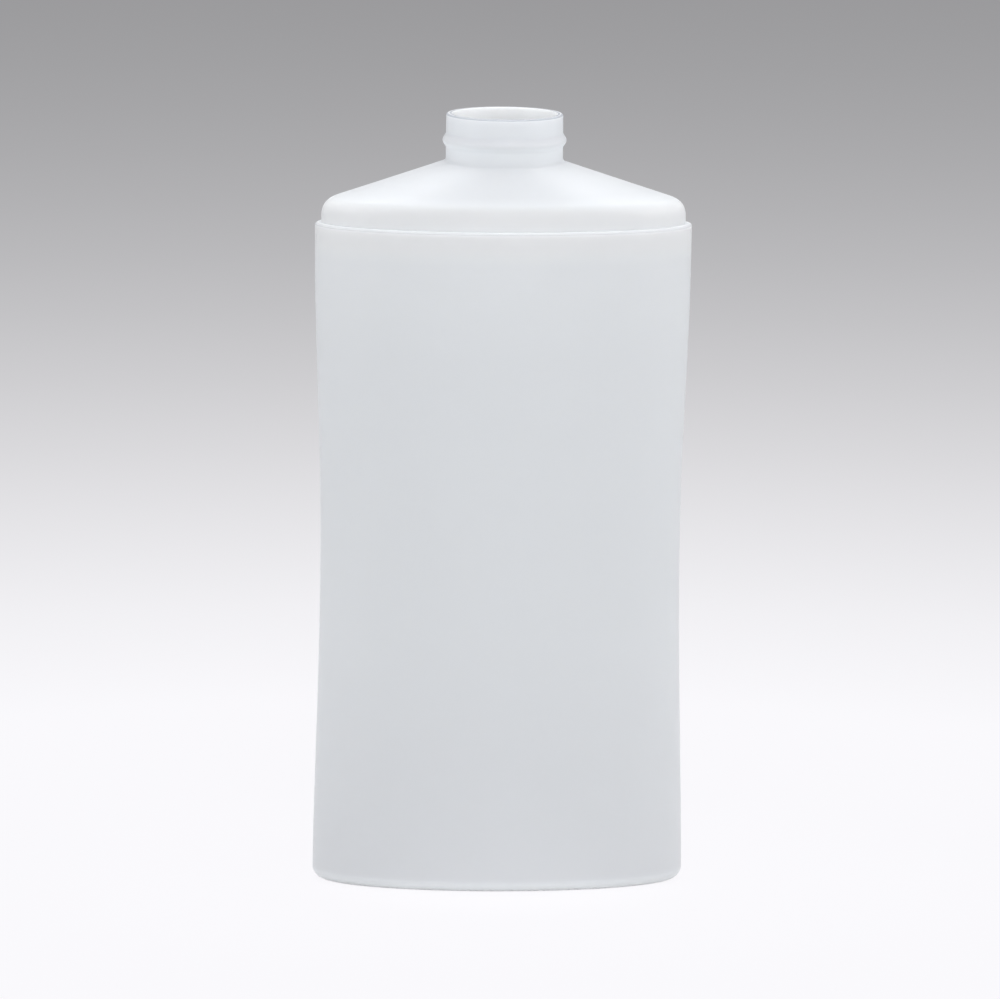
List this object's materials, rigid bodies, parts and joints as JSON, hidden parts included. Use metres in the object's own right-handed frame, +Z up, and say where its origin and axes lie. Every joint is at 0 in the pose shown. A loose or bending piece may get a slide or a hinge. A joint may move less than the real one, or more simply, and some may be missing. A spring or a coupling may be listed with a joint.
{
  "type": "snap-neck oval bottle",
  "caption": "Flat oval plastic bottle, slightly waisted, with a stepped sloping shoulder and a short round neck with a snap bead. Open and empty.",
  "frame": {"origin": "on the surface that the bottle stands on, under the middle of the neck", "axes": "+Z up along the neck, +X along the body's width, and the front face towards -Y"},
  "size_m": [0.088, 0.04, 0.181],
  "materials": {
    "natural_plastic": "satin, milky and slightly translucent"
  },
  "bodies": {
    "root": {"bottle": "natural_plastic"}
  },
  "joints": []
}
